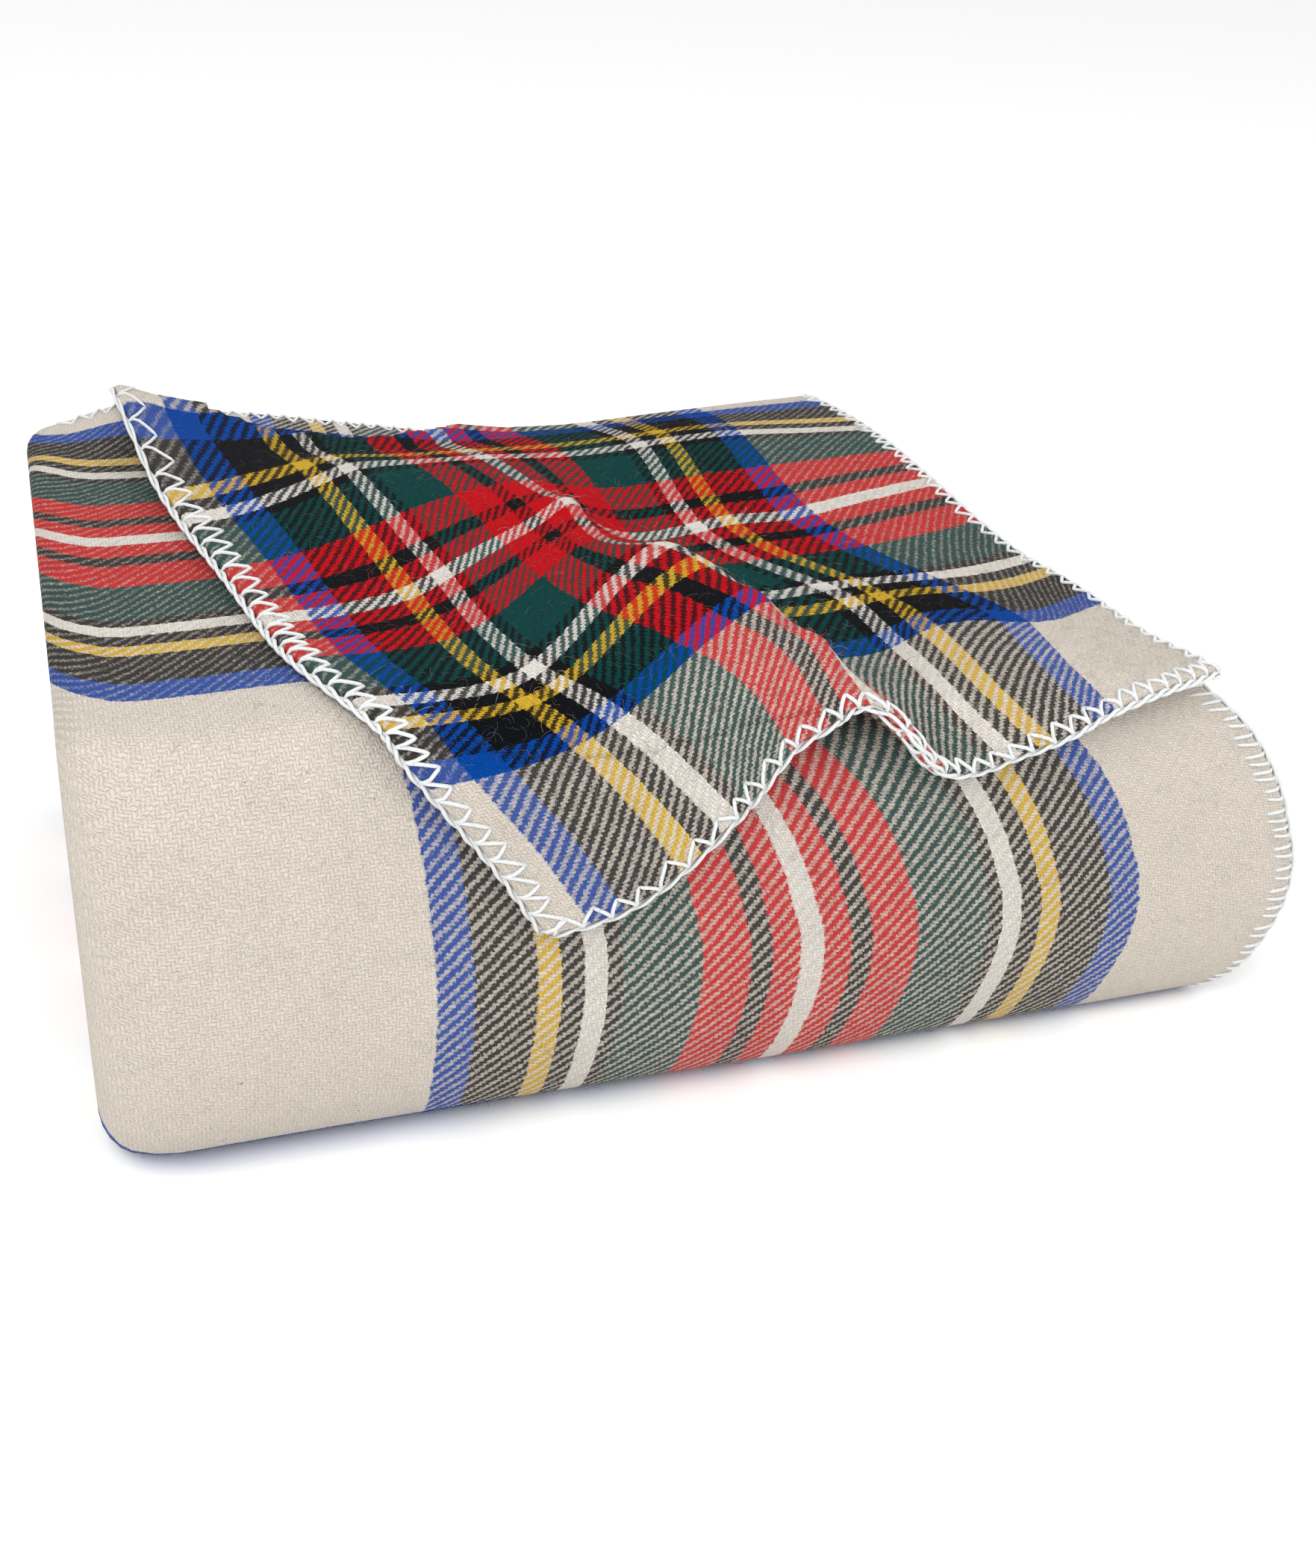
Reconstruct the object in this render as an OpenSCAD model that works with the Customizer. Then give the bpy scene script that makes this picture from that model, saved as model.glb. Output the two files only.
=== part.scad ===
// Wool camp blanket, folded into a stack. A corner of the cloth lies skewed across the top
// and hangs over the front. Every node is one fold of the cloth or one run of its edging yarn.
// Millimetres, +Z up, front at -Y, origin under the middle of the folded stack.

/* [Stack] */
// Width of the folded cloth, left fold to right edge
stack_w = 418; // [380:1:460]
// Depth of the folded cloth, front fold to back edge
stack_d = 315; // [295:1:340]
// Height of the stack at its left end
left_h = 162; // [152:1:172]
// Height of the stack at its right end, at the front
right_h = 146; // [138:1:150]
// Height of the stack along the back, right of its raised left corner
back_h = 148; // [140:1:151]
// Reach of the rounding on the front fold
front_reach = 30; // [24:1:40]
// Radius of the folds at the left end
left_fold_r = 11; // [8:0.5:14]
// How far the right end leans in at the top
right_lean = 50; // [20:1:60]

/* [Top sheet] */
// Thickness of the single sheet on top
sheet_t = 6; // [5:0.5:7]
// Height of the hump in the sheet above the stack
hump_h = 34; // [18:1:40]
// How far the corner hangs below its crease
flap_drop = 64; // [50:1:75]
// Width of the hanging corner along its crease
flap_w = 140; // [120:1:150]

/* [Edging] */
// How far the edging yarn stands out from the edge
yarn_out = 2; // [1.5:0.1:3]
// Gap between neighbouring pieces
gap = 0.4; // [0.3:0.05:0.6]
// Air under the top sheet
sheet_air = 2; // [1.5:0.1:3]

/* [Hidden] */

fold_count = 4;
roundness = 4;
cream = [0.88, 0.85, 0.80];
yarn_white = [0.93, 0.94, 0.94];
red = [0.75, 0.12, 0.16];
green = [0.10, 0.30, 0.26];
blue = [0.15, 0.30, 0.60];

// The flap stands this far in front of the stack, so the stack sits a little behind the middle.
front_y = -stack_d / 2 + 4;
back_y = front_y + stack_d;
left_x = -stack_w / 2 - yarn_out / 2;
right_x = left_x + stack_w;

// Hinge lines, both along X: the roll at the back and the crease at the front.
roll_r = sheet_t / 2;
roll_y = back_y - roll_r;
roll_z = back_h + sheet_air + roll_r;
roll_x0 = -56;
roll_x1 = 152;
crease_r = 3.8;
crease_y = front_y - crease_r - gap;
crease_z = left_h - 12;
crease_x0 = -126;
crease_x1 = crease_x0 + flap_w;
flap_corner_x = crease_x0 + 54;

function clamp01(t) = min(1, max(0, t));
function smooth(t) = clamp01(t) * clamp01(t) * (3 - 2 * clamp01(t));
function mix(a, b, t) = a + (b - a) * t;

// Height of the stack over a point of the floor: highest at the left, a little lower to the right.
function front_height(x) = mix(left_h, right_h, clamp01((x - left_x - 30) / (stack_w - 30)));
function back_height(x) = mix(left_h, back_h, smooth((x + 165) / 105));
function stack_height(x, y) = mix(front_height(x), back_height(x), smooth((y - front_y) / (stack_d - 50)));

// Closed mesh through rings of points, one ring after another. A ring goes out along one side of
// a strip and back along the other, so that its ends are closed by rungs across the strip.
module loft(rings) {
    n = len(rings[0]);
    m = len(rings);
    points = [for (ring = rings) each ring];
    // Both sides of the strip are cut on the same diagonal, so nested strips never meet.
    sides = [for (j = [0:m - 2]) for (i = [0:n - 1])
        let (p = j * n + i, q = j * n + (i + 1) % n, r = q + n, t = p + n)
        each (i < n / 2 ? [[p, q, r], [p, r, t]] : [[p, q, t], [q, r, t]])];
    rungs = [for (i = [0:n / 2 - 2]) each
        [[i, n - 1 - i, n - 2 - i], [i, n - 2 - i, i + 1]]];
    last = [for (f = rungs) [for (i = [2:-1:0]) (m - 1) * n + f[i]]];
    polyhedron(points = points, faces = concat(rungs, sides, last), convexity = 6);
}

// ---- The folded stack ----
// The folds lie inside one another: s is 1 on the outside of the stack and 0 at its middle, where
// the nose of the innermost fold lies half the stack's height behind the front.
function nose_y(s) = front_y + (1 - s) * right_h / 2;
function nose_reach(s) = front_reach * mix(0.3, 1, s);
function leg_ys(s, y_end) = concat([y_end],
    [for (t = [1:-0.2:0.2]) mix(nose_y(s) + nose_reach(s), back_y - 45, t)]);

// One side of a fold seen from the end, as [y, height share]: back, round the front, back again.

function fold_line(s, y_end) = concat(
    [for (y = leg_ys(s, y_end)) [y, 0.5 + 0.5 * s]],
    [for (a = [90:-15:-90])
        [nose_y(s) + nose_reach(s) * (1 - pow(abs(cos(a)), 2 / roundness)),
         0.5 + 0.5 * s * sign(sin(a)) * pow(abs(sin(a)), 2 / roundness)]],
    [for (y = reversed(leg_ys(s, y_end))) [y, 0.5 - 0.5 * s]]);

// The cloth slides to the left toward the top, fully at the right end and not at all at the left.
function lean(x, share) = right_lean * pow(share, 5) * smooth((x + 200) / 300);
function raised(line, x) = [for (p = line) [x - lean(x, p[1]), p[0], p[1] * stack_height(x, p[0])]];

function reversed(list) = [for (i = [len(list) - 1:-1:0]) list[i]];

// Four thicknesses of cloth bent round the front. "closed" is 0 at the left fold and 1 past it.
function fold_ring(k, x, closed, y_end, share) =
    let (mid = 1 - (k + 0.5) / fold_count,
         half = (0.5 / fold_count) * share * closed,
         air = k == 0 ? 0 : gap / left_h)
    concat(raised(fold_line(max(mid - half + gap / left_h, 0.012), y_end), x),
           reversed(raised(fold_line(mid + half - air, y_end), x)));

// Places along X where every fold has a ring: close together where the height changes quickly.
stations = concat([left_x + 30], [for (i = [0:6]) mix(-165, -60, i / 6)],
                  [for (i = [1:6]) mix(-60, right_x - gap, i / 6)]);

function fold_end_y(k) = back_y - [2, 6, 3, 8][k];
function fold_left_x(k) = left_x + [0, 3, 1, 4][k];

module fold(k) {
    x0 = fold_left_x(k);
    bend = [for (a = [80, 55, 30, 0]) [x0 + left_fold_r * (1 - sin(a)), cos(a)]];
    flat = [for (x = stations) [x, 1]];
    loft([for (s = concat(bend, flat)) fold_ring(k, s[0], max(s[1], 0.18), fold_end_y(k), 1)]);
}

module fold_edging(k) {
    loft([for (x = [right_x, right_x + yarn_out]) fold_ring(k, x, 1, fold_end_y(k), 0.8)]);
}

// Edging on the back end of the stack's top cloth.
module back_edge_run() {
    rings = [for (i = [0:12]) let (x = mix(left_x + 16, roll_x0 - 6, i / 12),
                                   top = stack_height(x, back_y) - 3)
        [[x, back_y - 1.6, top], [x, back_y - 1.6, top - 6], [x, back_y, top - 6], [x, back_y, top]]];
    loft(rings);
}

// ---- The sheet on top ----
// u runs from its left edge to its right edge, v from its front to the roll at the back.
function sheet_left(v) = mix(crease_x0, -162, v);
function sheet_right(v) = mix(158, roll_x1, v);
// The hump starts low at the front edge, is highest just behind it and fades out toward the back.
function ridge_x(y) = mix(16, -30, (y - front_y) / stack_d);
function hump(x, y) = let (d = (x - ridge_x(y)) / mix(30, 38, (y - front_y) / stack_d))
    hump_h * exp(-d * d) * smooth((y - front_y + 20) / 70) * (1 - smooth((y - front_y) / (0.9 * stack_d)));
function sheet_under(x, y) = stack_height(x, y) + sheet_air + hump(x, y);
function sheet_xy(u, v) = let (x = mix(sheet_left(v), sheet_right(v), u))
    [x, mix(front_y + 1, roll_y, v)];
function sheet_point(u, v, lift) = let (p = sheet_xy(u, v)) [p[0], p[1], sheet_under(p[0], p[1]) + lift];

// A strip of the sheet between two values of u, made as rings that run from front to back.
module sheet_strip(us, vs, low, high) {
    loft([for (u = us) concat([for (v = vs) sheet_point(u, v, high)],
                              [for (v = reversed(vs)) sheet_point(u, v, low)])]);
}

sheet_us = [for (i = [0:30]) i / 30];
sheet_vs = [for (i = [0:24]) i / 24];
edge_u = yarn_out / 320;

module back_roll() {
    translate([roll_x0, roll_y, roll_z]) rotate([0, 90, 0]) cylinder(h = roll_x1 - roll_x0, r = roll_r, $fn = 32);
}

// ---- The hanging corner ----
function flap_outline() = [[crease_x0, 0], [crease_x1, 0], [flap_corner_x + 8, -flap_drop],
                           [flap_corner_x, -flap_drop + 1]];

module flap_slab(outline) {
    translate([0, crease_y + sheet_t / 2, crease_z]) rotate([90, 0, 0])
        linear_extrude(height = sheet_t) polygon(outline);
}

// Yarn along one side of the corner, laid just outside the edge from a to b.
module flap_run(a, b) {
    along = (b - a) / norm(b - a);
    out = [along[1], -along[0]] * -1;
    flap_slab([a + out * gap, b + out * gap, b + out * yarn_out, a + out * yarn_out]);
}

module outer_fold() { color(cream) fold(0); }
module second_fold() { color(red) fold(1); }
module third_fold() { color(green) fold(2); }
module inner_fold() { color(blue) fold(3); }
module outer_fold_edging() { color(yarn_white) fold_edging(0); }
module second_fold_edging() { color(yarn_white) fold_edging(1); }
module third_fold_edging() { color(yarn_white) fold_edging(2); }
module inner_fold_edging() { color(yarn_white) fold_edging(3); }
module back_edging() { color(yarn_white) back_edge_run(); }

module top_sheet() {
    color(red) union() {
        sheet_strip(sheet_us, sheet_vs, 0, sheet_t);
        back_roll();
    }
}
module sheet_left_edging() { color(yarn_white) sheet_strip([-edge_u, -edge_u / 5], sheet_vs, 1, sheet_t - 1); }
module sheet_right_edging() { color(yarn_white) sheet_strip([1 + edge_u / 5, 1 + edge_u], sheet_vs, 1, sheet_t - 1); }
module sheet_end_edging() {
    color(yarn_white)
        sheet_strip([for (i = [14:30]) i / 30], [-yarn_out / stack_d, -gap / stack_d], 1, sheet_t - 1);
}

module corner_flap() {
    color(green) union() {
        flap_slab(flap_outline());
        translate([crease_x0, crease_y, crease_z]) rotate([0, 90, 0])
            cylinder(h = flap_w, r = crease_r, $fn = 24);
    }
}
module flap_left_edging() {
    side = flap_outline();
    color(yarn_white) flap_run(side[3], mix(side[3], side[0], 0.9));
}
module flap_end_edging() {
    side = flap_outline();
    color(yarn_white) flap_run(mix(side[2], side[1], 0.9), side[2]);
}

outer_fold();
second_fold();
third_fold();
inner_fold();
outer_fold_edging();
second_fold_edging();
third_fold_edging();
inner_fold_edging();
back_edging();
top_sheet();
sheet_left_edging();
sheet_right_edging();
sheet_end_edging();
corner_flap();
flap_left_edging();
flap_end_edging();
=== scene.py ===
"""Folded tartan wool camp blanket: its cloth, edging yarn, stage and light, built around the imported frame.

Lengths are millimetres until a mesh is made. On the cloth, s runs along the stripes' first family
(left to right on the stack) and t along the second (up the front and back over the top).
"""

import math

import bpy
import numpy as np
from mathutils import Matrix, Vector, noise
from mathutils.bvhtree import BVHTree


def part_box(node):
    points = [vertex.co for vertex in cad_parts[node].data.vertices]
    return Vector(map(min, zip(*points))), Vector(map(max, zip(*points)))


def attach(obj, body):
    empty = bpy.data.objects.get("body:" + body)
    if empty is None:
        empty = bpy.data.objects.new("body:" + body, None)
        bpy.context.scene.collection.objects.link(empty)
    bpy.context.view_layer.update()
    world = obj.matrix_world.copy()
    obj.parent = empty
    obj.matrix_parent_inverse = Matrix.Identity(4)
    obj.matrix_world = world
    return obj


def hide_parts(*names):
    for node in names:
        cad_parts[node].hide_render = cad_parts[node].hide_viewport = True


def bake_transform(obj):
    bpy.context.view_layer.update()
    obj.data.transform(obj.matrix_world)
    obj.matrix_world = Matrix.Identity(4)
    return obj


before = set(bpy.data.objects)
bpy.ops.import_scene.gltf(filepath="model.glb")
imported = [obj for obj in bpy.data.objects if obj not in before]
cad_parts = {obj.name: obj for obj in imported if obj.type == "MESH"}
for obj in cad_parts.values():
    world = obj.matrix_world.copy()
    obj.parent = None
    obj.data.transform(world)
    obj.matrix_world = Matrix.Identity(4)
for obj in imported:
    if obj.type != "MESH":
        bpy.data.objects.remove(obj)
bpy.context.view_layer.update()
rng = np.random.default_rng(7)

MM = 0.001
PLY = 4.4  # thickness of the cloth
STITCH_PITCH = 9.0
STITCH_DEPTH = 8.0
YARN_R = 0.66
FIBRE_R = 0.045
FLOOR_GAP = 0.1  # no point is lower than this
SHEET_FIBRES = 4600  # tried all over the sheet, once for the sheet and once for its corner
STACK_FIBRES = 2700

# The stack: its extent comes from the frame's own nodes
FOLDS = ["outer_fold", "second_fold", "third_fold", "inner_fold"]
PLIES_PER_FOLD = 4
LEFT_X, FRONT_Y = (1000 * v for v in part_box("outer_fold")[0][:2])
BACK_Y = 1000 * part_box("back_edging")[1].y
RIGHT_X = 1000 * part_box("inner_fold")[1].x
FRONT_REACH = 30.0  # how far the rounding of the front reaches in over the top
NOSE_POWER = 2 / 4
BOTTOM_REACH = (39.0, 30.0)  # of the rounding under the front, at the left and at the right
BOTTOM_POWER = 2 / 2.3
RIGHT_H = 146.0
LEFT_H = 162.0
LEAN = 50.0  # the right end's top lies this far in from its foot
RIGHT_BULGE = 8.0
FOOT_INSET = 14.0  # of the right end's foot, at the floor
LEFT_ROUND = 26.0  # radius of the left end's front corner, seen from above
BACK_INSET = 8.0  # of the left end's back corner


def smooth(v):
    v = np.clip(v, 0, 1)
    return v * v * (3 - 2 * v)


def mix(a, b, t):
    return a + (b - a) * t


# ---- Cloth as a grid of points with a thickness ----
class Cloth:
    """A sheet of cloth: mid-surface points on a grid, its thickness, and s, t at each point."""

    def __init__(self, us, vs, mid, s, t, thick=PLY, closed_edges="uUvV"):
        self.us, self.vs, self.mid = np.array(us, float), np.array(vs, float), mid
        self.s, self.t, self.thick, self.edges = s, t, thick, closed_edges
        du, dv = np.gradient(mid, axis=0), np.gradient(mid, axis=1)
        n = np.cross(du, dv)
        self.normal = n / np.maximum(np.linalg.norm(n, axis=2, keepdims=True), 1e-9)
        self.half = self.half_thickness()

    def half_thickness(self):
        """Half the thickness, rounded off toward each free edge like half a tube."""
        r = self.thick / 2
        near = np.full(self.mid.shape[:2], 1e9)
        du = {"u": self.us - self.us[0], "U": self.us[-1] - self.us}
        dv = {"v": self.vs - self.vs[0], "V": self.vs[-1] - self.vs}
        for key in self.edges:
            d = du[key][:, None] if key in du else dv[key][None, :]
            near = np.minimum(near, np.broadcast_to(d, near.shape))
        x = np.clip(near / r, 0, 1)
        return r * np.sqrt(np.maximum(0, 1 - (1 - x) ** 2))

    def sample(self, u, v):
        """Mid-surface point, normal and half thickness at u, v."""
        i = np.clip(np.searchsorted(self.us, u) - 1, 0, len(self.us) - 2)
        j = np.clip(np.searchsorted(self.vs, v) - 1, 0, len(self.vs) - 2)
        a = np.clip((u - self.us[i]) / (self.us[i + 1] - self.us[i]), 0, 1)
        b = np.clip((v - self.vs[j]) / (self.vs[j + 1] - self.vs[j]), 0, 1)

        def at(grid):
            low = mix(grid[i, j], grid[i + 1, j], a)
            high = mix(grid[i, j + 1], grid[i + 1, j + 1], a)
            return mix(low, high, b)

        n = at(self.normal)
        return at(self.mid), n / max(np.linalg.norm(n), 1e-9), at(self.half)


def edge_steps(length, step, ends=(True, True)):
    """Grid positions over a length, close together where an edge is rounded off."""
    r = PLY / 2
    fine = r * np.array([0, 0.08, 0.3, 0.65, 1.0])
    low = fine if ends[0] else np.array([0.0])
    high = length - fine[::-1] if ends[1] else np.array([length])
    n = max(2, int(round((high[0] - low[-1]) / step)))
    return np.concatenate([low, np.linspace(low[-1], high[0], n + 1)[1:-1], high])


def mesh_object(name, points, faces, material, cloth=None):
    points = points.copy()
    points[:, 2] = np.maximum(points[:, 2], FLOOR_GAP)
    mesh = bpy.data.meshes.new(name)
    mesh.from_pydata((points * MM).tolist(), [], faces)
    if cloth is not None:
        attribute = mesh.attributes.new("cloth", "FLOAT_VECTOR", "POINT")
        attribute.data.foreach_set("vector", cloth.astype(np.float32).ravel())
    mesh.materials.append(material)
    mesh.validate()
    mesh.shade_smooth()
    obj = bpy.data.objects.new(name, mesh)
    bpy.context.scene.collection.objects.link(obj)
    return obj


def fuzz(cloth, count, side, u_range, v_range, keep):
    """Fine loose fibres standing off one side of a cloth: their points, faces and s, t, paleness."""
    roots, ups, places = [], [], []
    for u, v in zip(rng.uniform(*u_range, count), rng.uniform(*v_range, count)):
        i = np.clip(np.searchsorted(cloth.us, u) - 1, 0, len(cloth.us) - 2)
        j = np.clip(np.searchsorted(cloth.vs, v) - 1, 0, len(cloth.vs) - 2)
        if not keep[i, j]:
            continue
        mid, normal, half = cloth.sample(u, v)
        roots.append(mid + normal * side * (half - 0.2))
        ups.append(normal * side)
        places.append((cloth.s[i, j], cloth.t[i, j], rng.uniform(0.1, 1)))
    roots, ups, places = np.array(roots), np.array(ups), np.array(places)
    count, rings, sides = len(roots), 5, 3
    along = np.cross(ups, rng.normal(size=(count, 3)))
    along /= np.linalg.norm(along, axis=1, keepdims=True)
    across = np.cross(ups, along)
    length = rng.uniform(1.6, 6.5, count)
    height = rng.uniform(0.5, 2.0, count)
    rise = rng.uniform(0.45, 1.0, count) * math.pi
    bend = rng.uniform(-1.5, 1.5, count)
    path = []
    for k in range(rings):
        f = k / (rings - 1)
        x, y = length * f * np.cos(bend * f), length * f * np.sin(bend * f)
        z = height * np.sin(rise * f)
        path.append(roots + along * x[:, None] + across * y[:, None] + ups * z[:, None])
    path = np.stack(path, axis=1)
    forward = np.gradient(path, axis=1)
    one = np.cross(forward, ups[:, None])
    one /= np.maximum(np.linalg.norm(one, axis=2, keepdims=True), 1e-9)
    two = np.cross(forward, one)
    two /= np.maximum(np.linalg.norm(two, axis=2, keepdims=True), 1e-9)
    angle = np.arange(sides) * 2 * math.pi / sides
    ring = np.cos(angle)[:, None] * one[:, :, None] + np.sin(angle)[:, None] * two[:, :, None]
    points = (path[:, :, None] + FIBRE_R * ring).reshape(-1, 3)
    faces = []
    for start in range(0, count * rings * sides, rings * sides):
        for a in range(start, start + (rings - 1) * sides, sides):
            for i in range(sides):
                n = (i + 1) % sides
                faces.append((a + i, a + n, a + sides + n, a + sides + i))
        last = start + (rings - 1) * sides
        faces += [(start + 2, start + 1, start), (last, last + 1, last + 2)]
    return points, faces, np.repeat(places, rings * sides, axis=0)


def cloth_object(name, cloth, material, keep=None, fibres=None):
    """The closed mesh of a cloth, or of the cells of it where keep is true, with its loose fibres."""
    n, m = cloth.mid.shape[:2]
    up = cloth.mid + cloth.normal * cloth.half[..., None]
    down = cloth.mid - cloth.normal * cloth.half[..., None]
    edge = cloth.half < 1e-6
    index = np.arange(n * m).reshape(n, m)
    low = np.where(edge, index, index + n * m)
    if keep is None:
        keep = np.ones((n - 1, m - 1), bool)
    faces = []
    for i, j in zip(*np.nonzero(keep)):
        faces.append((index[i, j], index[i + 1, j], index[i + 1, j + 1], index[i, j + 1]))
        faces.append((low[i, j + 1], low[i + 1, j + 1], low[i + 1, j], low[i, j]))
        for di, dj, a, b in (
            (-1, 0, (i, j + 1), (i, j)),
            (1, 0, (i + 1, j), (i + 1, j + 1)),
            (0, -1, (i, j), (i + 1, j)),
            (0, 1, (i + 1, j + 1), (i, j + 1)),
        ):
            x, y = i + di, j + dj
            if 0 <= x < n - 1 and 0 <= y < m - 1 and keep[x, y]:
                continue
            wall = [index[b], index[a], low[a], low[b]]
            wall = [w for k, w in enumerate(wall) if w != wall[k - 1]]
            if len(set(wall)) > 2:
                faces.append(tuple(wall))
    points = np.concatenate([up.reshape(-1, 3), down.reshape(-1, 3)])
    st = np.stack([cloth.s, cloth.t, np.zeros_like(cloth.s)], axis=2).reshape(-1, 3)
    used = np.unique([k for f in faces for k in f])
    new = np.zeros(2 * n * m, int)
    new[used] = np.arange(len(used))
    faces = [tuple(int(new[k]) for k in f) for f in faces]
    points, st = points[used], np.concatenate([st, st])[used]
    if fibres is not None:
        more, more_faces, more_st = fuzz(cloth, *fibres, keep)
        faces += [tuple(k + len(points) for k in f) for f in more_faces]
        points, st = np.concatenate([points, more]), np.concatenate([st, more_st])
    return mesh_object(name, points, faces, material, st)


# ---- Materials ----
class Nodes:
    """Short calls for building a node tree."""

    def __init__(self, name):
        self.material = bpy.data.materials.new(name)
        self.material.use_nodes = True
        self.tree = self.material.node_tree
        self.shader = self.tree.nodes["Principled BSDF"]

    def add(self, kind, inputs=(), **settings):
        node = self.tree.nodes.new(kind)
        for key, value in settings.items():
            setattr(node, key, value)
        for key, value in dict(inputs).items():
            self.set(node.inputs[key], value)
        return node

    def set(self, socket, value):
        if isinstance(value, bpy.types.NodeSocket):
            self.tree.links.new(value, socket)
        else:
            socket.default_value = value

    def math(self, operation, *values):
        node = self.add("ShaderNodeMath", operation=operation)
        for socket, value in zip(node.inputs, values):
            self.set(socket, value)
        return node.outputs[0]

    def vector(self, operation, inputs):
        return self.add("ShaderNodeVectorMath", inputs, operation=operation).outputs[0]

    def noise(self, vector, scale, detail=2.0, roughness=0.5, colour=False):
        node = self.add(
            "ShaderNodeTexNoise",
            {"Vector": vector, "Scale": scale, "Detail": detail, "Roughness": roughness},
        )
        return node.outputs["Color" if colour else "Fac"]

    def range(self, value, low, high, to_low=0.0, to_high=1.0, smoothed=False):
        node = self.add("ShaderNodeMapRange")
        if smoothed:
            node.interpolation_type = "SMOOTHSTEP"
        for key, v in (("Value", value), ("From Min", low), ("From Max", high)):
            self.set(node.inputs[key], v)
        self.set(node.inputs["To Min"], to_low)
        self.set(node.inputs["To Max"], to_high)
        return node.outputs[0]

    def mix(self, factor, a, b, blend="MIX"):
        node = self.add("ShaderNodeMix", data_type="RGBA", blend_type=blend)
        self.set(node.inputs["Factor"], factor)
        self.set(node.inputs[6], a)
        self.set(node.inputs[7], b)
        return node.outputs[2]


def srgb(r, g, b):
    def linear(c):
        c /= 255
        return c / 12.92 if c <= 0.04045 else ((c + 0.055) / 1.055) ** 2.4

    return (linear(r), linear(g), linear(b), 1.0)


CREAM = srgb(199, 190, 179)
WHITE = srgb(206, 202, 195)
RED = srgb(178, 6, 18)
BLACK = srgb(11, 12, 16)
GREEN = srgb(0, 57, 55)
YELLOW = srgb(192, 156, 44)
BLUE = srgb(0, 62, 142)
YARN = srgb(222, 223, 221)

# How far each yarn spreads over the one it crosses
COVER = {CREAM: 0.0, WHITE: 0.3, YELLOW: 0.35, GREEN: 0.58, BLACK: 0.58, RED: 0.74, BLUE: 0.66}
# Half of the tartan band from its centre outward, as (colour, width), then the plain ground
SETT = [
    (WHITE, 3.75), (RED, 10), (BLACK, 7.5), (RED, 17), (GREEN, 27), (BLACK, 5),
    (WHITE, 7.5), (BLACK, 7), (YELLOW, 7.5), (BLACK, 20), (BLUE, 12), (CREAM, 90),
]
BAND_HALF = sum(w for c, w in SETT if c is not CREAM)
REPEAT = 2 * sum(w for c, w in SETT)
GROUND_W = REPEAT - 2 * BAND_HALF
YARN_PITCH = 1.25  # between neighbouring yarns; the twill repeats every four


def stripe_colour(nodes, position):
    """Colour and cover of a yarn at a distance from the centre of the nearest tartan band."""
    shifted = nodes.math("ADD", position, REPEAT * 20.5)
    wrapped = nodes.math("SUBTRACT", nodes.math("MODULO", shifted, REPEAT), REPEAT / 2)
    share = nodes.math("DIVIDE", nodes.math("ABSOLUTE", wrapped), REPEAT / 2)
    ramp = nodes.add("ShaderNodeValToRGB", {"Fac": share})
    ramp.color_ramp.interpolation = "CONSTANT"
    elements = ramp.color_ramp.elements
    while len(elements) < len(SETT):
        elements.new(0.5)
    edge = 0.0
    for element, (colour, width) in zip(elements, SETT):
        element.position = edge / (REPEAT / 2)
        element.color = (*colour[:3], COVER[colour])
        edge += width
    return ramp.outputs["Color"], ramp.outputs["Alpha"]


def twill(nodes, place, s, t):
    """2/2 twill: which yarn lies on top, from weft (-1) to warp (1), and how round that yarn is there."""
    s_yarn = nodes.math("FLOOR", nodes.math("DIVIDE", s, YARN_PITCH))
    t_yarn = nodes.math("FLOOR", nodes.math("DIVIDE", t, YARN_PITCH))
    turn = nodes.math("MODULO", nodes.math("ADD", nodes.math("SUBTRACT", s_yarn, t_yarn), 4000.0), 4.0)
    block = nodes.math("MULTIPLY_ADD", nodes.math("LESS_THAN", turn, 1.5), 1.4, -0.7)
    diagonal = nodes.math("ADD", nodes.math("SUBTRACT", s, t), YARN_PITCH / 2)
    rib = nodes.math("SINE", nodes.math("MULTIPLY", diagonal, 2 * math.pi / (4 * YARN_PITCH)))
    weave = nodes.math("MULTIPLY_ADD", rib, 0.3, block)
    weave = nodes.math("ADD", weave, nodes.range(nodes.noise(place, 800, 3.0, 0.7), 0.3, 0.7, -0.5, 0.5))

    # Each yarn is round across its width where it lies on top
    warp_round = nodes.math("ABSOLUTE", nodes.math("SINE", nodes.math("MULTIPLY", s, math.pi / YARN_PITCH)))
    weft_round = nodes.math("ABSOLUTE", nodes.math("SINE", nodes.math("MULTIPLY", t, math.pi / YARN_PITCH)))
    on_top = nodes.range(weave, -0.4, 0.4, smoothed=True)
    yarn_round = nodes.add("ShaderNodeMix", {0: on_top, 2: weft_round, 3: warp_round}).outputs[0]
    return weave, yarn_round


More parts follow.
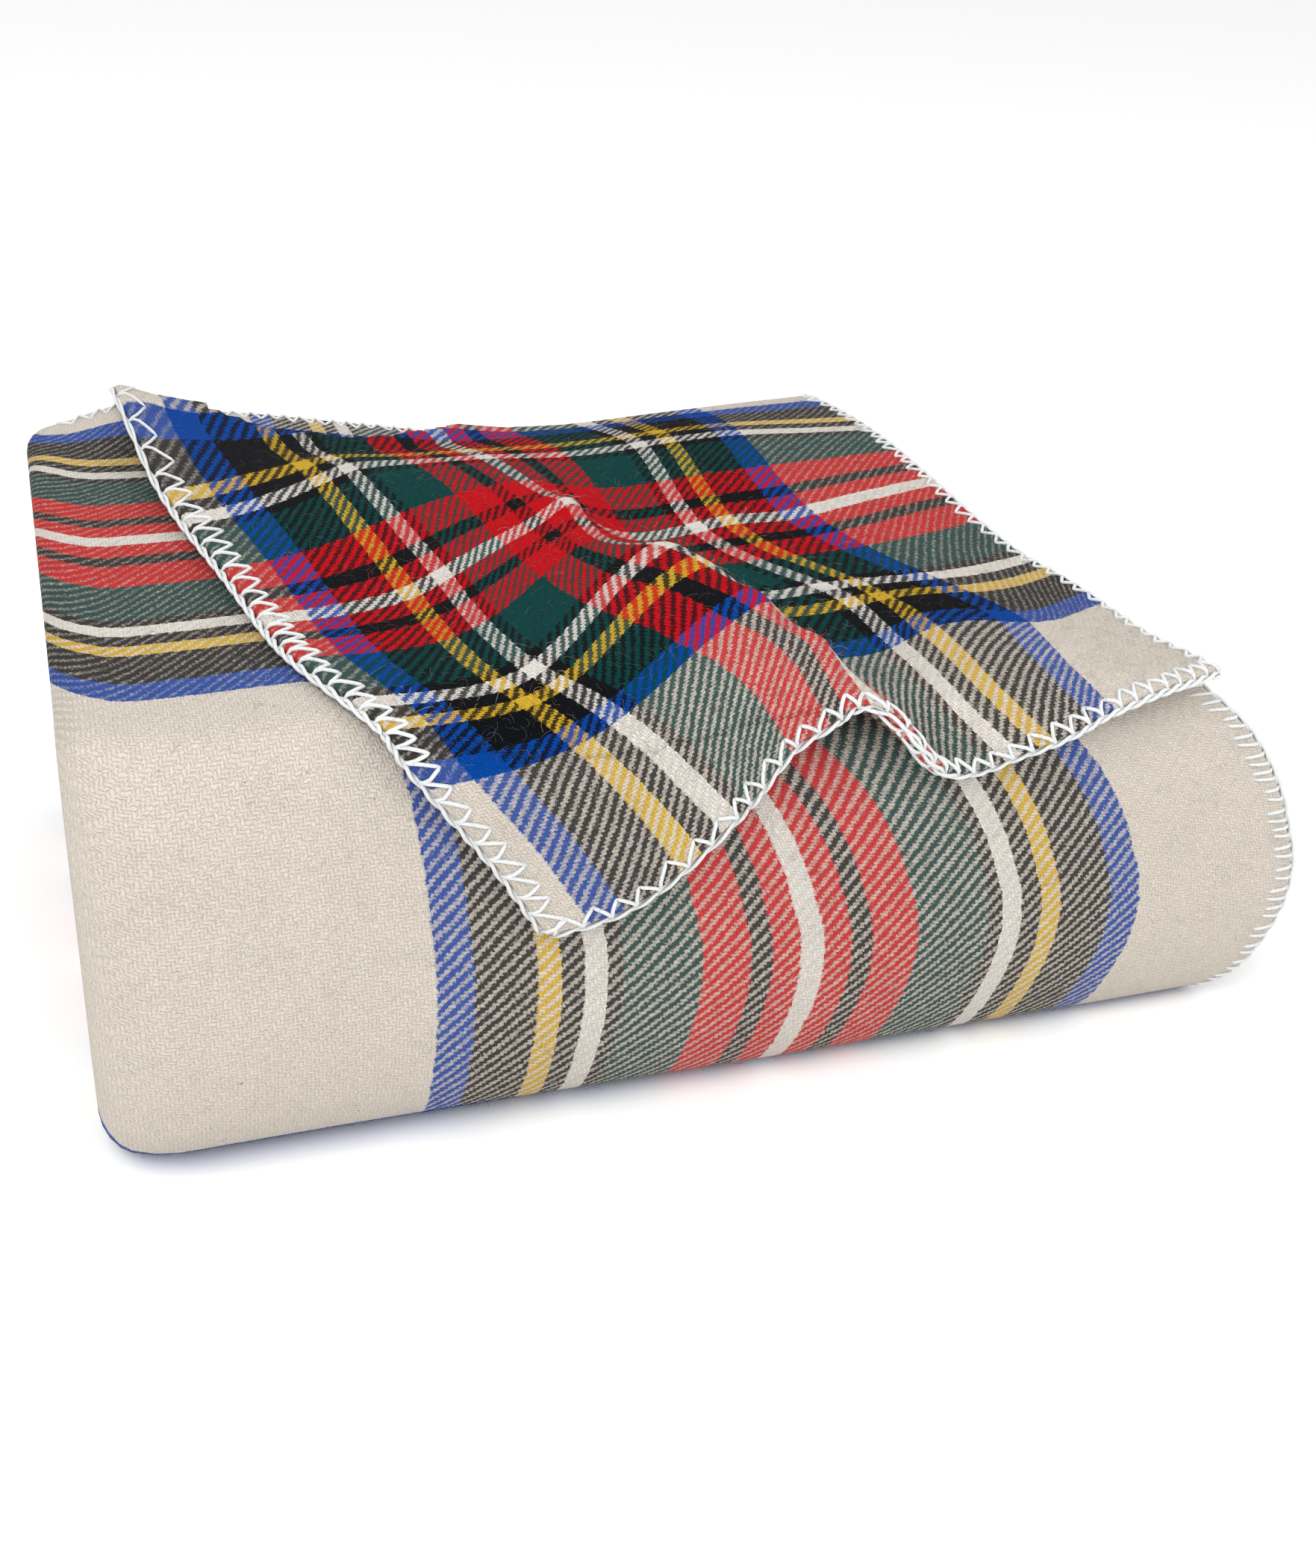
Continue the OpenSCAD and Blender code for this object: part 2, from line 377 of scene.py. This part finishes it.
def wool_material():
    """Brushed wool: both stripe families woven together, with a soft nap and stray fibres."""
    nodes = Nodes("tartan_wool")
    cloth = nodes.add("ShaderNodeAttribute", attribute_name="cloth").outputs["Vector"]
    place = nodes.add("ShaderNodeTexCoord").outputs["Object"]

    def wobble(scale, amount):
        coloured = nodes.noise(place, scale, 2.0, 0.6, colour=True)
        centred = nodes.vector("SUBTRACT", {0: coloured, 1: (0.5, 0.5, 0.5)})
        return nodes.vector("SCALE", {0: centred, "Scale": amount})

    frayed = nodes.vector("ADD", {0: cloth, 1: wobble(900, 2.2)})
    frayed = nodes.vector("ADD", {0: frayed, 1: wobble(160, 1.1)})
    s, t, _ = nodes.add("ShaderNodeSeparateXYZ", {0: frayed}).outputs
    warp, warp_cover = stripe_colour(nodes, s)
    weft, weft_cover = stripe_colour(nodes, t)
    weave, yarn_round = twill(nodes, place, s, t)

    # A coloured yarn covers the plain ground, and most where it is the one along the top
    lead = nodes.math("SUBTRACT", warp_cover, weft_cover)
    greyed = nodes.math("MULTIPLY_ADD", nodes.math("MAXIMUM", lead, 0.0), 0.25, 0.06)
    lead = nodes.math("MULTIPLY_ADD", nodes.math("MINIMUM", lead, 0.0), 1.2, lead)
    lead = nodes.math("MAXIMUM", lead, -1.35)
    over = nodes.range(nodes.math("ADD", weave, lead), -0.85, 0.85, greyed, 0.92, smoothed=True)
    colour = nodes.mix(over, weft, warp)

    nap = nodes.noise(place, 1900, 3.0, 0.7)
    patch = nodes.noise(place, 55, 3.0, 0.55)
    shade = nodes.range(nap, 0.3, 0.7, 0.86, 1.1)
    shade = nodes.math("ADD", shade, nodes.range(patch, 0.3, 0.7, -0.02, 0.02))
    # Painted shade: each yarn is darkened toward its sides, in the crevices between the yarns
    shade = nodes.math("ADD", shade, nodes.math("MULTIPLY_ADD", yarn_round, 0.26, -0.13))
    shaded = nodes.vector("SCALE", {0: colour, "Scale": shade})
    fibre = nodes.noise(place, 800, 4.0, 0.8)
    haze = nodes.range(fibre, 0.6, 0.78, 0.0, 0.05)
    shaded = nodes.mix(haze, shaded, srgb(180, 176, 168))
    speck = nodes.range(nodes.noise(place, 330, 1.0, 0.4), 0.80, 0.83, 0.0, 0.45)
    shaded = nodes.mix(speck, shaded, srgb(104, 72, 44))

    loose = nodes.add("ShaderNodeSeparateXYZ", {0: cloth}).outputs[2]
    shaded = nodes.mix(nodes.math("MULTIPLY", loose, 0.22), shaded, srgb(226, 222, 216))

    nodes.set(nodes.shader.inputs["Base Color"], shaded)
    nodes.set(nodes.shader.inputs["Roughness"], 0.95)
    nodes.set(nodes.shader.inputs["Specular IOR Level"], 0.04)
    nodes.set(nodes.shader.inputs["Sheen Weight"], 0.01)
    nodes.set(nodes.shader.inputs["Sheen Roughness"], 0.5)
    height = nodes.math("ADD", nodes.math("MULTIPLY", yarn_round, 0.7), nodes.math("MULTIPLY", nap, 1.3))
    height = nodes.math("ADD", height, nodes.math("MULTIPLY", nodes.noise(place, 420, 3.0, 0.6), 1.6))
    bump = nodes.add("ShaderNodeBump", {"Height": height, "Strength": 0.9, "Distance": 0.0005})
    nodes.set(nodes.shader.inputs["Normal"], bump.outputs[0])
    return nodes.material


def yarn_material():
    nodes = Nodes("edging_yarn")
    place = nodes.add("ShaderNodeTexCoord").outputs["Object"]
    fibre = nodes.noise(place, 2200, 3.0, 0.7)
    shade = nodes.range(fibre, 0.3, 0.7, 0.0, 1.0)
    colour = nodes.mix(shade, srgb(190, 194, 196), YARN)
    nodes.set(nodes.shader.inputs["Base Color"], colour)
    nodes.set(nodes.shader.inputs["Roughness"], 0.85)
    nodes.set(nodes.shader.inputs["Specular IOR Level"], 0.2)
    nodes.set(nodes.shader.inputs["Sheen Weight"], 0.1)
    bump = nodes.add("ShaderNodeBump", {"Height": fibre, "Strength": 0.6, "Distance": 0.0004})
    nodes.set(nodes.shader.inputs["Normal"], bump.outputs[0])
    return nodes.material


wool = wool_material()
yarn = yarn_material()

# ---- The folded stack ----
BAND_X = 18.25  # the tartan band's centre along the front
# The ground starts this far past the start of the bottom rounding, at the left and at the right
GROUND_START = (21.0, 10.0)
NOSE_ANGLES = np.radians(np.arange(-90, 91, 6))


def stack_height(x, y):
    """Height of the stack's top: high at the left and along the front, lower behind it at the right."""
    right = mix(145, 141, smooth((y - FRONT_Y - 15) / 60))
    right = right + 4 * smooth((y - 40) / 60) * smooth((x - 60) / 60)
    height = mix(LEFT_H, right, smooth((x + 150) / 170))
    back_left = smooth((-140 - x) / 25) * smooth((y - BACK_Y + 60) / 45)
    return height + mix(-3, 6, smooth((x + 209) / 45)) * back_left


def nose_path(x, share, y_end, step):
    """One run of cloth from the bottom back round the front to the top back, as y and height share."""
    y0 = FRONT_Y + (1 - share) * RIGHT_H / 2
    cos, sin = np.abs(np.cos(NOSE_ANGLES)), np.sin(NOSE_ANGLES)
    low = sin < 0
    bottom = mix(*BOTTOM_REACH, smooth((x - LEFT_X) / (RIGHT_X - LEFT_X)))
    reach = np.where(low, bottom, FRONT_REACH) * mix(0.3, 1, share)
    power = np.where(low, BOTTOM_POWER, NOSE_POWER)
    nose_y = y0 + reach * (1 - cos**power)
    nose_z = 0.5 + 0.5 * share * np.sign(sin) * np.abs(sin) ** power
    count = int((BACK_Y - FRONT_Y - FRONT_REACH) / step)
    share_along = np.linspace(0, 1, count + 1)
    fine = np.array([0, 0.16, 0.6, 1.3, 2.0]) / (BACK_Y - FRONT_Y)
    run = np.concatenate([fine, share_along[1:-1]])
    n = len(run)
    ys = np.concatenate([mix(y_end, nose_y[0], run), nose_y, mix(y_end, nose_y[-1], run)[::-1]])
    zs = np.concatenate([np.full(n, 0.5 - 0.5 * share), nose_z, np.full(n, 0.5 + 0.5 * share)])
    return ys, zs, n


def ply_line(left, right, spacing, step):
    """Across a fold: x, ply number and length along the cloth. It starts at the right edge on ply 0,
    turns under at the left to ply 3, back at the right to ply 2, at the left again to ply 1, and ends."""
    xc = left + 1.5 * spacing
    turn = np.linspace(0, math.pi, 9)[1:-1]
    run = edge_steps(right - xc, step, (True, False))
    xs = [right - run, xc - 1.5 * spacing * np.sin(turn)]
    js = [np.zeros(len(run)), 1.5 - 1.5 * np.cos(turn)]
    middle = np.linspace(xc, right - 7, int((right - xc) / step))
    xs += [middle, right - 7 + 0.5 * spacing * np.sin(turn), middle[::-1]]
    js += [np.full(len(middle), 3.0), 2.5 + 0.5 * np.cos(turn), np.full(len(middle), 2.0)]
    xs += [xc - 0.5 * spacing * np.sin(turn), mix(right - 1.5, xc, run[::-1] / run[-1])]
    js += [1.5 + 0.5 * np.cos(turn), np.ones(len(run))]
    x, j = np.concatenate(xs), np.concatenate(js)
    length = np.concatenate([[0], np.cumsum(np.hypot(np.diff(x), np.diff(j) * spacing))])
    return x, j, length


def ripple(points, scale, amount, seed):
    """Soft uneven swells, the same for plies that lie on each other."""
    flat = points.reshape(-1, 3)
    values = [noise.noise(Vector((p[0] / scale, p[1] / scale, p[2] / scale + seed))) for p in flat]
    return amount * np.array(values).reshape(points.shape[:-1])


def fold_cloth(k, step):
    spacing = LEFT_H / 2 / (len(FOLDS) * PLIES_PER_FOLD)
    left = LEFT_X + (0.3, 3, 1, 4)[k]
    x, j, length = ply_line(left + PLY / 2, RIGHT_X - (0, 3, 1, 4)[k], spacing, step)
    y_end = BACK_Y - (4, 7, 5, 9)[k]
    mid = []
    for across, number in zip(x, j):
        share = 1 - k / len(FOLDS) - (number + 0.5) / (len(FOLDS) * PLIES_PER_FOLD)
        ys, zs, legs = nose_path(across, share, y_end, step)
        mid.append(np.stack([ys, zs], axis=1))
    mid = np.array(mid)
    ys, zs = mid[..., 0], mid[..., 1]
    xs = np.broadcast_to(x[:, None], ys.shape)
    at_right = smooth((xs + 200) / 300)
    lean = (LEAN * zs**5 - RIGHT_BULGE * np.sin(math.pi * np.clip(zs * 1.25, 0, 1)) ** 2) * at_right
    lean = lean + FOOT_INSET * np.clip(1 - zs * 7, 0, 1) ** 2 * smooth((xs - 120) / 90)
    height = stack_height(xs - lean, ys)
    points = np.stack([xs - lean, ys, zs * height], axis=2)
    spread = 0.5 - 0.5 * np.cos(2 * math.pi * np.clip(zs, 0, 1))
    swell = np.stack([xs, ys, zs * 40], axis=2)
    points[..., 2] += ripple(swell, 85, 2.2, k * 0.15) * np.clip(zs * 2, 0, 1) - 0.8 * np.clip(zs * 2, 0, 1)
    face = smooth((FRONT_Y + 34 - ys) / 34)
    points[..., 1] += face * (ripple(swell, 120, 2.4, 3.1 + k * 0.1) * spread + 0.8)
    # The left end is rounded in plan, and narrows a little toward the back
    inset = np.clip((LEFT_X + LEFT_ROUND - xs) / LEFT_ROUND, 0, 0.97)
    points[..., 1] += LEFT_ROUND * (1 - np.sqrt(1 - inset**2)) * smooth((FRONT_Y + 80 - ys) / 80)
    points[..., 0] += BACK_INSET * np.clip((ys - FRONT_Y) / 315, 0, 1) * np.clip((80 - xs) / 280, 0, 1)
    along = np.linalg.norm(np.diff(points, axis=1), axis=2)
    paths = np.concatenate([np.zeros((len(x), 1)), np.cumsum(along, axis=1)], axis=1)
    path = paths[0]
    s = (x[0] - BAND_X) - length
    ground_start = mix(*GROUND_START, smooth((xs + 150) / 250))
    t = paths - paths[:, [legs]] - ground_start - GROUND_W - BAND_HALF
    return Cloth(
        length, path, points,
        np.broadcast_to(s[:, None], ys.shape), t,
    )


# ---- The sheet on top ----
# Places on the cloth, as (s from the left edge, t from the end edge), with their x, y, z
BAND_S, BAND_T = 14.6 + BAND_HALF, 73 + BAND_HALF
SHEET_W, SHEET_L = 332.0, 330.0
Y0 = FRONT_Y - 5  # the hanging part's face
SHEET_POINTS = [
    (0, 0, -71, Y0, 87), (0, 32, -86, Y0, 112), (0, 58, -100, Y0, 132), (0, 83, -114, Y0 + 1, 152),
    (0, 109, -120, -150, 163), (0, 158, -136, -106, 166), (0, 197, -142, -78, 167),
    (0, 230, -147, -42, 168), (0, 271, -155, 10, 169), (0, 300, -160, 62, 170), (0, 326, -163, 158, 170),
    (26, 0, -45, Y0, 92), (50, 0, -24, Y0, 106), (65, 0, -11, Y0, 119), (86, 0, -1, Y0, 131),
    (101, 0, 7, Y0, 142), (120, 0, 20, Y0 - 3, 152), (132, 0, 28, Y0 - 3, 157), (141, 0, 38, Y0 - 3, 154),
    (154, 0, 49, Y0 - 3, 144), (166, 0, 56, Y0 - 2, 135), (175, 0, 61, Y0 - 1, 130), (190, 0, 70, Y0, 126),
    (200, 0, 77, Y0, 126), (213, 0, 87, Y0, 129), (227, 0, 98, Y0, 132), (240, 0, 108, Y0, 136),
    (257, 0, 118, Y0 + 1, 141), (290, 0, 140, Y0 + 2, 148), (332, 0, 166, Y0 + 7, 150),
    (50, 109, -76, -149, 165), (50, 197, -92, -65, 166), (50, 286, -106, 49, 172), (50, 326, -111, 154, 153),
    (65, 123, -71, -139, 170), (65, 197, -79, -57, 168), (65, 271, -91, 43, 172),
    (101, 326, -74, 153, 144),
    (118, 40, 8, -147, 170), (120, 79, -2, -120, 174), (125, 123, -17, -74, 173), (125, 197, -33, -16, 169),
    (132, 40, 19, -146, 175), (134, 79, 11, -116, 178), (139, 109, 3, -87, 178), (139, 123, -3, -68, 178),
    (139, 197, -20, -10, 174), (139, 271, -33, 64, 165), (139, 326, -36, 153, 144),
    (145, 40, 24, -144, 164), (147, 79, 16, -113, 167), (152, 123, 3, -65, 168), (152, 197, -13, -7, 164),
    (158, 40, 32, -143, 154), (160, 79, 24, -109, 157), (165, 123, 12, -61, 158), (165, 197, -2, -3, 156),
    (172, 40, 42, -143, 150), (174, 79, 34, -106, 151), (178, 123, 24, -60, 152), (178, 197, 9, 3, 151),
    (213, 30, 66, -152, 149), (213, 79, 66, -103, 150), (213, 109, 65, -72, 151), (213, 123, 61, -58, 151),
    (213, 197, 38, 12, 149), (213, 271, 42, 94, 155), (213, 326, 38, 153, 145),
    (227, 79, 80, -93, 150), (227, 109, 76, -70, 151), (227, 197, 52, 17, 149), (227, 271, 55, 97, 155),
    (240, 79, 97, -89, 150), (257, 40, 112, -129, 149), (257, 79, 114, -95, 150), (257, 197, 81, 17, 149),
    (257, 271, 83, 98, 156), (263, 79, 119, -97, 150), (263, 197, 88, 18, 150), (263, 326, 92, 154, 148),
    (325, 79, 152, -88, 150), (325, 109, 149, -61, 150), (325, 123, 146, -49, 150), (325, 197, 147, 35, 151),
    (325, 271, 143, 93, 156), (332, 40, 158, -122, 150), (332, 326, 151, 156, 150),
]
CREASE_S, CREASE_T = 122.0, 104.0  # the hanging corner's crease runs between these places on its edges


def plate(places, values, at):
    """Smooth surface through values at places, evaluated at other places."""

    def kernel(a, b):
        d2 = ((a[:, None] - b[None]) ** 2).sum(2) + 1e-9
        return d2 * np.log(d2) / 2

    n = len(places)
    system = np.zeros((n + 3, n + 3))
    flat = np.column_stack([np.ones(n), places])
    system[:n, :n] = kernel(places, places) + np.eye(n) * 0.0006
    system[:n, n:], system[n:, :n] = flat, flat.T
    weights = np.linalg.solve(system, np.vstack([values, np.zeros((3, values.shape[1]))]))
    return kernel(at, places) @ weights[:n] + np.column_stack([np.ones(len(at)), at]) @ weights[n:]


def sheet_cloth(stack_tree, step):
    table = np.array(SHEET_POINTS, float)
    us = edge_steps(SHEET_W, step)
    vs = edge_steps(SHEET_L, step, (True, False))
    u, v = np.meshgrid(us, vs, indexing="ij")
    at = np.column_stack([u.ravel(), v.ravel()]) / 100
    top = plate(table[:, :2] / 100, table[:, 2:], at).reshape(*u.shape, 3)
    shape = Cloth(us, vs, top, u, v)
    mid = top - shape.normal * PLY / 2
    mid = clear_of(stack_tree, mid, PLY / 2 + 0.5)
    for _ in range(2):
        mid = clear_of(stack_tree, relaxed(mid), PLY / 2 + 0.5)
    mid, vs, v = with_tuck(mid, vs)
    u = np.broadcast_to(us[:, None], v.shape)
    return Cloth(us, vs, mid, u - BAND_S, v - BAND_T)


def relaxed(mid):
    """The grid with each inner point moved a little toward its neighbours' middle."""
    out = mid.copy()
    out[1:-1, 1:-1] += 0.35 * (
        (mid[2:, 1:-1] + mid[:-2, 1:-1] + mid[1:-1, 2:] + mid[1:-1, :-2]) / 4 - mid[1:-1, 1:-1]
    )
    return out


def clear_of(tree, mid, clearance):
    """The points, moved out of the stack where they come closer to its surface than the clearance."""
    out = mid.copy()
    for key in np.ndindex(mid.shape[:2]):
        point = Vector(mid[key])
        place, normal, _, _ = tree.find_nearest(point)
        depth = (point - place).dot(normal)
        if depth < clearance:
            out[key] = place + normal * clearance
    return out


def with_tuck(mid, vs):
    """The sheet's back turned down over the stack's back edge, as rows added to the grid."""
    radius, count = 5.0, 7
    rows, lengths = [], []
    for k in range(1, count + 1):
        angle = math.pi / 2 * k / count
        rows.append((radius * math.sin(angle), -radius * (1 - math.cos(angle))))
        lengths.append(radius * angle)
    for k in (1, 2, 3):
        rows.append((radius, -radius - 8 * k))
        lengths.append(radius * math.pi / 2 + 8 * k)
    last = mid[:, -1]
    extra = np.stack([last + np.array([0, dy, dz]) for dy, dz in rows], axis=1)
    vs = np.concatenate([vs, vs[-1] + np.array(lengths)])
    mid = np.concatenate([mid, extra], axis=1)
    return mid, vs, np.broadcast_to(vs[None, :], mid.shape[:2])


# ---- Blanket stitch ----
def tube(path, radius, sides, points, faces, shrink=True):
    """Adds a round yarn along a path to points and faces, closed at both ends."""
    path = np.array(path, float)
    forward = np.gradient(path, axis=0)
    forward /= np.maximum(np.linalg.norm(forward, axis=1, keepdims=True), 1e-9)
    side = np.cross(forward[0], (0.3, 0.5, 0.81))
    start = sum(len(p) for p in points)
    rings = []
    for k, (p, f) in enumerate(zip(path, forward)):
        side = side - f * side.dot(f)
        side = side / max(np.linalg.norm(side), 1e-9)
        other = np.cross(f, side)
        angle = np.arange(sides) * 2 * math.pi / sides
        r = radius * (0.55 if shrink and k in (0, len(path) - 1) else 1.0)
        rings.append(p + r * (np.cos(angle)[:, None] * side + np.sin(angle)[:, None] * other))
    points.append(np.concatenate(rings))
    for k in range(len(path) - 1):
        a = start + k * sides
        for i in range(sides):
            n = (i + 1) % sides
            faces.append((a + i, a + n, a + sides + n, a + sides + i))
    faces.append(tuple(start + i for i in range(sides))[::-1])
    faces.append(tuple(start + (len(path) - 1) * sides + i for i in range(sides)))


def blanket_stitch(cloth, edge, start, end, points, faces, sides=5, spread=1.0, over=(1, -1), close=1.0):
    """Stitches over a cloth's edge. edge(d, depth) gives u, v at d along the edge and depth in from it.
    Each stitch's two legs stand apart by spread at the edge, and meet at its tip where close is 1."""
    count = max(1, int(round((end - start) / STITCH_PITCH)))
    step = (end - start) / count
    jitter = rng.uniform(-0.09, 0.09, count + 1) * step
    jitter[[0, -1]] = 0
    marks = start + np.arange(count + 1) * step + jitter

    def place(d, depth, side, lift):
        mid, normal, half = cloth.sample(*edge(d, depth))
        return mid + normal * side * (half + lift)

    def outward(d):
        a, b = cloth.sample(*edge(d, 0.0))[0], cloth.sample(*edge(d, 3.0))[0]
        return (a - b) / max(np.linalg.norm(a - b), 1e-9)

    for a, b in zip(marks[:-1], marks[1:]):
        depth = STITCH_DEPTH * rng.uniform(0.82, 1.1)
        apex = (a + b) / 2 + rng.uniform(-0.16, 0.16) * step
        for side in over:
            for foot in (a, b):
                foot = mix(apex, foot, spread)
                path = [cloth.sample(*edge(foot, 0.0))[0] + outward(foot) * 0.9]
                for share, lift in ((0.12, 0.55), (0.35, 0.6), (0.65, 0.5), (0.88, 0.25), (1.02, -0.5)):
                    along = mix(foot, apex, min(share, 1) ** 1.5 * close)
                    path.append(place(along, depth * share, side, YARN_R * lift))
                tube(path, YARN_R, sides, points, faces)
    total = int((end - start) / 1.6)
    for phase in (0.0, math.pi):
        path = []
        for d in np.linspace(start, end, max(2, total)):
            mid, normal, _ = cloth.sample(*edge(d, 0.0))
            out = outward(d)
            angle = phase + (d - start) / step * math.pi
            path.append(mid + out * (0.9 + 0.7 * math.cos(angle)) + normal * 0.85 * math.sin(angle))
        tube(path, YARN_R * 1.05, sides, points, faces)


def yarn_object(name, points, faces):
    return mesh_object(name, np.concatenate(points), faces, yarn)


def put(obj, body, slot, *nodes):
    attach(obj, body)
    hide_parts(*nodes)


# ---- Building ----
def build_stack():
    made = []
    tree = None
    for k, node in enumerate(FOLDS):
        cloth = fold_cloth(k, 7.0 if k == 0 else 11.0)
        fibres = None
        if k == 0:
            front = cloth.vs[len(cloth.vs) // 2 - len(NOSE_ANGLES) // 2]
            fibres = (STACK_FIBRES, -1, (2, RIGHT_X - LEFT_X - 12), (front, cloth.vs[-1] - 6))
        piece = cloth_object(node + "_cloth", cloth, wool, fibres=fibres)
        slot = "cloth_cream" if k == 0 else "cloth_tartan"
        put(piece, "stack", slot, node)
        points, faces = [], []
        width = cloth.us[-1]
        run = cloth.vs[-1]
        blanket_stitch(
            cloth, lambda d, depth: (depth, d), 3.0, run - 3.0, points, faces,
            sides=5 if k == 0 else 4, spread=0.5, over=(-1,), close=0.3,
        )
        blanket_stitch(
            cloth, lambda d, depth: (width - depth, d), 3.0, run - 3.0, points, faces,
            sides=4, spread=0.5, over=(-1,), close=0.3,
        )
        edging = yarn_object(node + "_stitches", points, faces)
        put(edging, "stack", "edging_yarn", node + "_edging")
        if k == 0:
            points, faces = [], []
            across = RIGHT_X - LEFT_X - 14
            blanket_stitch(
                cloth, lambda d, depth: (d, run - depth), 3.0, across, points, faces,
            )
            back = yarn_object("back_stitches", points, faces)
            put(back, "stack", "edging_yarn", "back_edging")
            quads = cloth_object("probe", cloth, wool)
            tree = BVHTree.FromPolygons(
                [v.co / MM for v in quads.data.vertices], [p.vertices for p in quads.data.polygons]
            )
            bpy.data.objects.remove(quads)
        made.append(piece)
    return tree


def build_sheet(tree):
    cloth = sheet_cloth(tree, 3.2)
    centre_s = (cloth.us[1:] + cloth.us[:-1]) / 2
    centre_t = (cloth.vs[1:] + cloth.vs[:-1]) / 2
    corner = centre_s[:, None] / CREASE_S + centre_t[None, :] / CREASE_T < 1
    whole = (1, (2, SHEET_W - 2), (2, SHEET_L))
    sheet = cloth_object("top_sheet_cloth", cloth, wool, ~corner, (SHEET_FIBRES, *whole))
    flap = cloth_object("corner_cloth", cloth, wool, corner, (SHEET_FIBRES, *whole))
    length, width = cloth.vs[-1], cloth.us[-1]
    runs = {
        "sheet_left_stitches": (lambda d, depth: (depth, d), CREASE_T, SHEET_L + 4),
        "flap_left_stitches": (lambda d, depth: (depth, d), 2.0, CREASE_T),
        "sheet_end_stitches": (lambda d, depth: (d, depth), CREASE_S, width - 2),
        "flap_end_stitches": (lambda d, depth: (d, depth), 2.0, CREASE_S),
        "sheet_right_stitches": (lambda d, depth: (width - depth, d), 2.0, SHEET_L + 4),
    }
    stitched = {}
    for name, (edge, start, end) in runs.items():
        points, faces = [], []
        blanket_stitch(cloth, edge, start, end, points, faces, sides=6)
        stitched[name] = yarn_object(name, points, faces)
    sheet_pieces = [stitched[n] for n in runs if n.startswith("sheet")]
    flap_pieces = [stitched[n] for n in runs if n.startswith("flap")]

    # The sheet and its corner, split at the crease at the top of the front, are baked where they lie, and
    # the frame's parts they stand for are hidden.
    for obj in [sheet, *sheet_pieces]:
        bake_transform(obj)
    for obj in [flap, *flap_pieces]:
        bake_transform(obj)
    for obj, node, slot in (
        (sheet, "top_sheet", "cloth_tartan"),
        (flap, "corner_flap", "cloth_tartan"),
        (stitched["sheet_left_stitches"], "sheet_left_edging", "edging_yarn"),
        (stitched["sheet_right_stitches"], "sheet_right_edging", "edging_yarn"),
        (stitched["sheet_end_stitches"], "sheet_end_edging", "edging_yarn"),
        (stitched["flap_left_stitches"], "flap_left_edging", "edging_yarn"),
        (stitched["flap_end_stitches"], "flap_end_edging", "edging_yarn"),
    ):
        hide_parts(node)


# ---- Camera, floor and light ----
def build_camera():
    data = bpy.data.cameras.new("camera")
    camera = bpy.data.objects.new("camera", data)
    bpy.context.scene.collection.objects.link(camera)
    bpy.context.scene.camera = camera
    data.sensor_fit = "VERTICAL"
    data.sensor_height = 36
    data.lens = 44.04
    yaw, pitch, roll = (math.radians(a) for a in (20.70, 28.49, 2.957))
    forward = Vector((math.sin(yaw) * math.cos(pitch), math.cos(yaw) * math.cos(pitch), -math.sin(pitch)))
    level = Vector((math.cos(yaw), -math.sin(yaw), 0))
    above = level.cross(forward)
    right = level * math.cos(roll) + above * math.sin(roll)
    up = -level * math.sin(roll) + above * math.cos(roll)
    turn = Matrix((right, up, -forward)).transposed()
    camera.matrix_world = Matrix.Translation(Vector((-0.2182, -0.6377, 0.4147))) @ turn.to_4x4()
    data.clip_start = 0.01
    data.clip_end = 50


def area_light(name, place, target, size, watts):
    data = bpy.data.lights.new(name, "AREA")
    data.shape = "DISK"
    data.size = size
    data.energy = watts
    light = bpy.data.objects.new(name, data)
    bpy.context.scene.collection.objects.link(light)
    light.location = place
    light.rotation_euler = (Vector(target) - Vector(place)).to_track_quat("-Z", "Y").to_euler()


def build_stage():
    nodes = Nodes("floor")
    nodes.set(nodes.shader.inputs["Base Color"], (0.95, 0.95, 0.95, 1))
    nodes.set(nodes.shader.inputs["Roughness"], 0.9)
    nodes.set(nodes.shader.inputs["Specular IOR Level"], 0.1)
    bpy.ops.mesh.primitive_plane_add(size=14)
    floor = bpy.context.object
    floor.name = "floor"
    floor.data.materials.append(nodes.material)
    world = bpy.data.worlds.new("studio")
    bpy.context.scene.world = world
    world.use_nodes = True
    world.node_tree.nodes["Background"].inputs[0].default_value = (1, 1, 1, 1)
    world.node_tree.nodes["Background"].inputs[1].default_value = 0.95
    area_light("key", (-0.9, -1.0, 1.6), (0, 0, 0.08), 1.6, 26)
    area_light("fill", (1.4, -1.3, 1.2), (0, 0, 0.08), 1.8, 13)
    bpy.context.scene.view_settings.view_transform = "Standard"


build_camera()
build_sheet(build_stack())
build_stage()
